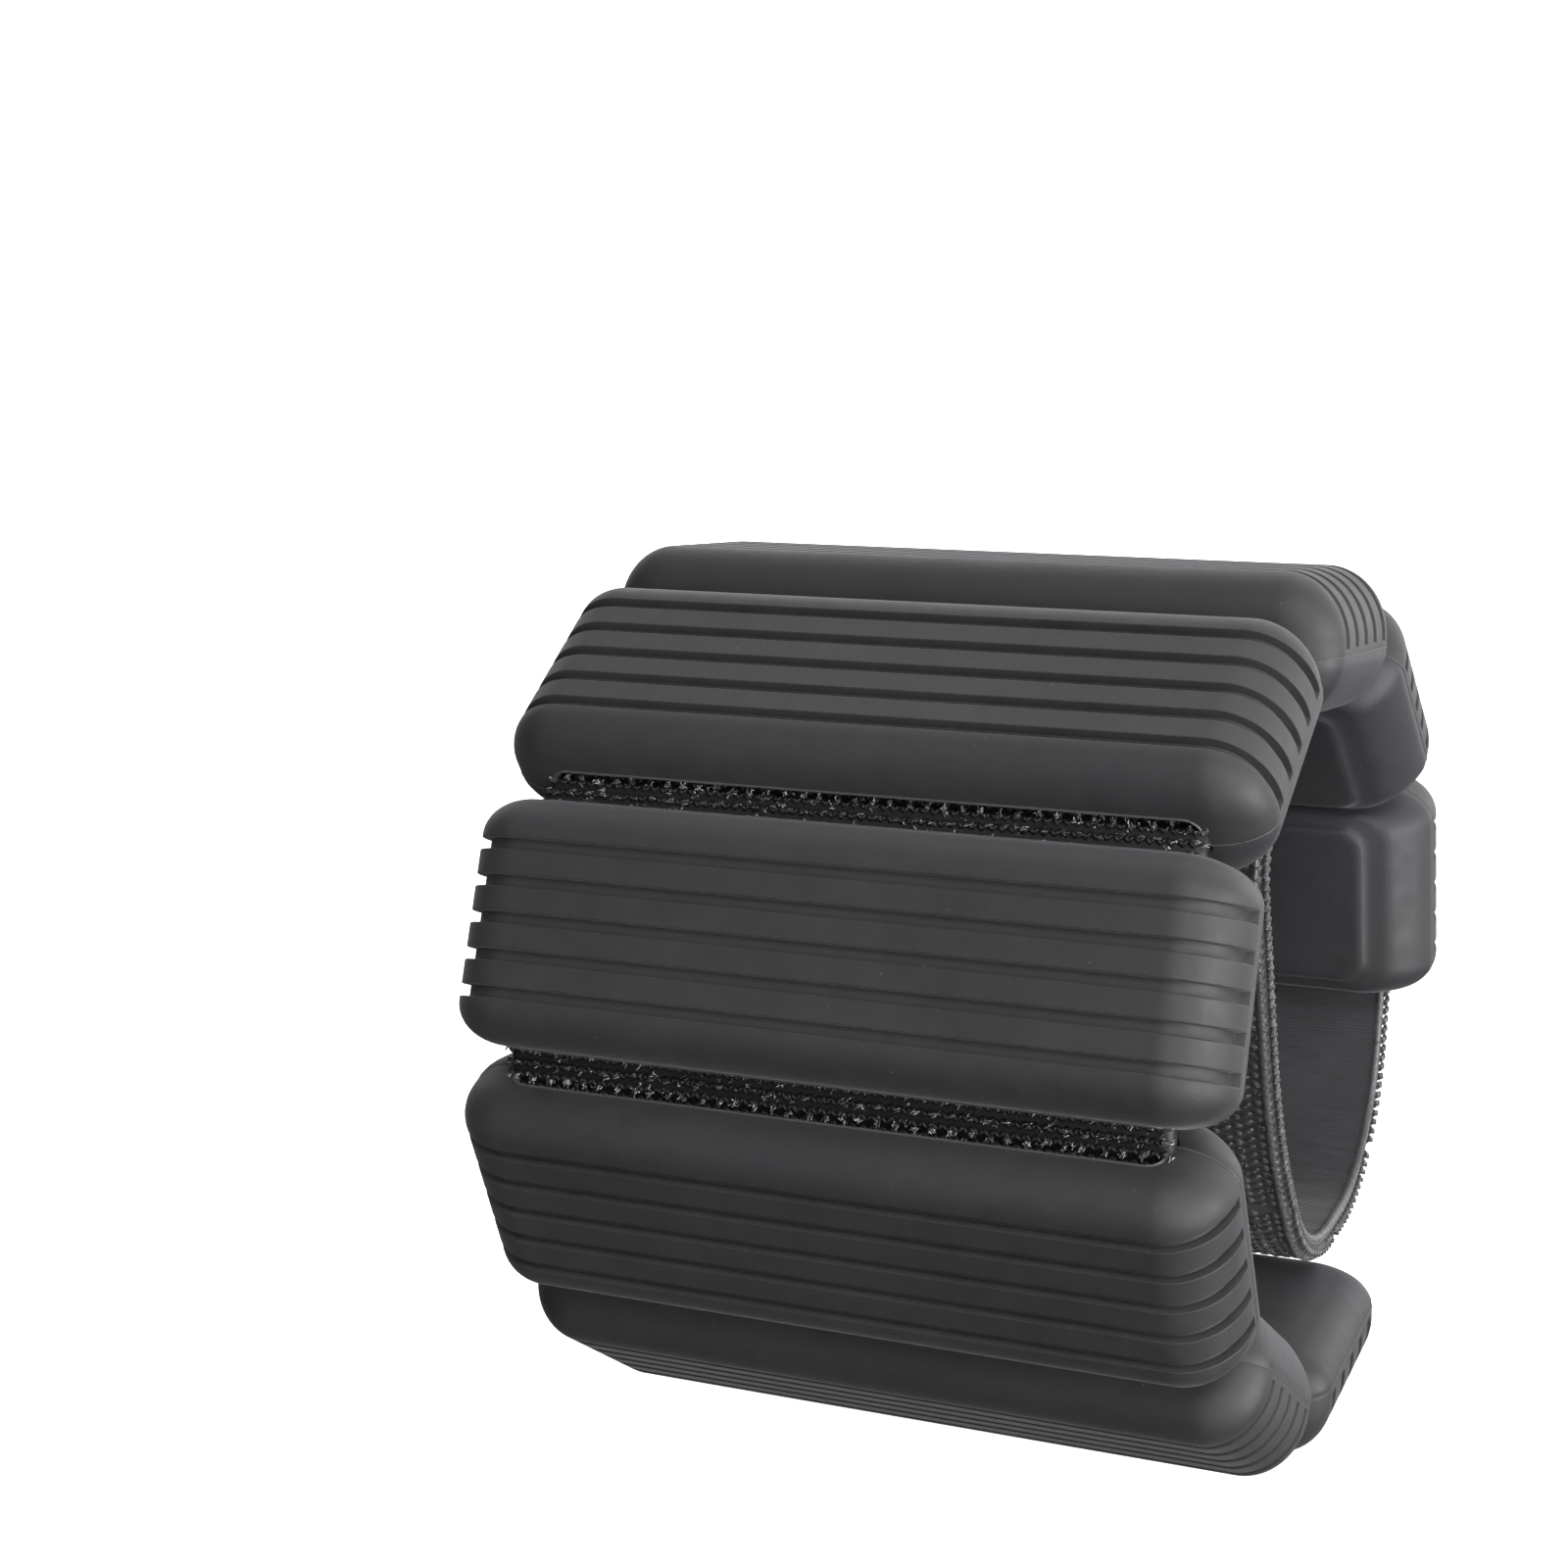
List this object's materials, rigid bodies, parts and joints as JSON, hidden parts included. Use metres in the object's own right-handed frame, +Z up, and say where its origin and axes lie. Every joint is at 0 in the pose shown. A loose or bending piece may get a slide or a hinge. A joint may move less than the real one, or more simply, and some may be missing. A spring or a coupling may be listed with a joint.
{
  "type": "ankle cuff weight",
  "caption": "Cuff weight for an ankle or wrist: ribbed silicone bars with steel cores strung on a wide elastic band that closes into a ring with a strap tail.",
  "frame": {"origin": "middle of the bounding box's base, on the ground under the ring", "axes": "+X along the cuff's axis and along every bar, +Z up, -Y towards the front bars, +Y towards the gap that the strap closes"},
  "size_m": [0.0824, 0.0962, 0.0951],
  "materials": {
    "silicone": "matt moulded dark grey silicone, fine grain",
    "silicone_base": "matt moulded dark grey silicone, smooth",
    "steel": "plain sawn flat bar, deburred",
    "loop_band": "black knitted loop pile with a few shiny filaments",
    "webbing": "dark woven elastic, fine cross ribs, matt",
    "hook": "black moulded hook tape"
  },
  "bodies": {
    "bar_1": {"bar_1_cover": "silicone", "bar_1_base": "silicone_base", "bar_1_core": "steel", "bar_1_band": "loop_band"},
    "bar_2": {"bar_2_cover": "silicone", "bar_2_base": "silicone_base", "bar_2_core": "steel", "bar_2_band": "loop_band"},
    "bar_3": {"bar_3_cover": "silicone", "bar_3_base": "silicone_base", "bar_3_core": "steel", "bar_3_band": "loop_band"},
    "bar_4": {"bar_4_cover": "silicone", "bar_4_base": "silicone_base", "bar_4_core": "steel", "bar_4_band": "loop_band"},
    "bar_5": {"bar_5_cover": "silicone", "bar_5_base": "silicone_base", "bar_5_core": "steel", "bar_5_band": "loop_band"},
    "bar_6": {"bar_6_cover": "silicone", "bar_6_base": "silicone_base", "bar_6_core": "steel", "bar_6_band": "loop_band"},
    "bar_7": {"bar_7_cover": "silicone", "bar_7_base": "silicone_base", "bar_7_core": "steel", "bar_7_band": "loop_band"},
    "bar_8": {"bar_8_cover": "silicone", "bar_8_base": "silicone_base", "bar_8_core": "steel", "bar_8_band": "loop_band"},
    "strap_1": {"strap_1": "webbing"},
    "strap_2": {"strap_2": "webbing"},
    "strap_3": {"strap_3": "webbing"},
    "strap_4": {"strap_4": "webbing"},
    "strap_5": {"strap_5": "webbing"},
    "strap_6": {"strap_6": "webbing", "hook_patch": "hook"}
  },
  "joints": [
    {"name": "bar_2_hinge", "type": "hinge", "parent": "bar_1", "child": "bar_2", "pos_m": [0, -0.01376, 0.0102], "axis": [1, 0, 0], "range_deg": [0, 41.7]},
    {"name": "bar_3_hinge", "type": "hinge", "parent": "bar_2", "child": "bar_3", "pos_m": [0, -0.03317, 0.0275], "axis": [1, 0, 0], "range_deg": [0, 34.7]},
    {"name": "bar_4_hinge", "type": "hinge", "parent": "bar_3", "child": "bar_4", "pos_m": [0, -0.03928, 0.05277], "axis": [1, 0, 0], "range_deg": [0, 42.6]},
    {"name": "bar_5_hinge", "type": "hinge", "parent": "bar_4", "child": "bar_5", "pos_m": [0, -0.02668, 0.07551], "axis": [1, 0, 0], "range_deg": [0, 36.3]},
    {"name": "bar_6_hinge", "type": "hinge", "parent": "bar_5", "child": "bar_6", "pos_m": [0, -0.00306, 0.08637], "axis": [1, 0, 0], "range_deg": [0, 38.7]},
    {"name": "bar_7_hinge", "type": "hinge", "parent": "bar_6", "child": "bar_7", "pos_m": [0, 0.02217, 0.08008], "axis": [1, 0, 0], "range_deg": [0, 38.5]},
    {"name": "bar_8_hinge", "type": "hinge", "parent": "bar_7", "child": "bar_8", "pos_m": [0, 0.038, 0.05945], "axis": [1, 0, 0], "range_deg": [0, 38.8]},
    {"name": "strap_1_hinge", "type": "hinge", "parent": "bar_8", "child": "strap_1", "pos_m": [0, 0.03981, 0.03341], "axis": [1, 0, 0], "range_deg": [0, 19.7]},
    {"name": "strap_2_hinge", "type": "hinge", "parent": "strap_1", "child": "strap_2", "pos_m": [0, 0.03504, 0.02099], "axis": [1, 0, 0], "range_deg": [0, 35.1]},
    {"name": "strap_3_hinge", "type": "hinge", "parent": "strap_2", "child": "strap_3", "pos_m": [0, 0.02375, 0.01341], "axis": [1, 0, 0], "range_deg": [0, 38]},
    {"name": "strap_4_hinge", "type": "hinge", "parent": "strap_3", "child": "strap_4", "pos_m": [0, 0.00271, 0.01491], "axis": [1, 0, 0], "range_deg": [0, 59.9]},
    {"name": "strap_5_hinge", "type": "hinge", "parent": "strap_4", "child": "strap_5", "pos_m": [0, -0.00759, 0.03603], "axis": [1, 0, 0], "range_deg": [0, 21.5]},
    {"name": "strap_6_hinge", "type": "hinge", "parent": "strap_5", "child": "strap_6", "pos_m": [0, -0.01038, 0.07143], "axis": [1, 0, 0], "range_deg": [0, 81.4]}
  ],
  "couplings": [
    {"joint": "bar_3_hinge", "follows": "bar_2_hinge", "ratio": 0.83213},
    {"joint": "bar_4_hinge", "follows": "bar_2_hinge", "ratio": 1.0216},
    {"joint": "bar_5_hinge", "follows": "bar_2_hinge", "ratio": 0.8705},
    {"joint": "bar_6_hinge", "follows": "bar_2_hinge", "ratio": 0.92806},
    {"joint": "bar_7_hinge", "follows": "bar_2_hinge", "ratio": 0.92326},
    {"joint": "bar_8_hinge", "follows": "bar_2_hinge", "ratio": 0.93046},
    {"joint": "strap_1_hinge", "follows": "bar_2_hinge", "ratio": 0.47242},
    {"joint": "strap_2_hinge", "follows": "bar_2_hinge", "ratio": 0.84173},
    {"joint": "strap_3_hinge", "follows": "bar_2_hinge", "ratio": 0.91127},
    {"joint": "strap_4_hinge", "follows": "bar_2_hinge", "ratio": 1.4365},
    {"joint": "strap_5_hinge", "follows": "bar_2_hinge", "ratio": 0.51559},
    {"joint": "strap_6_hinge", "follows": "bar_2_hinge", "ratio": 1.952}
  ]
}
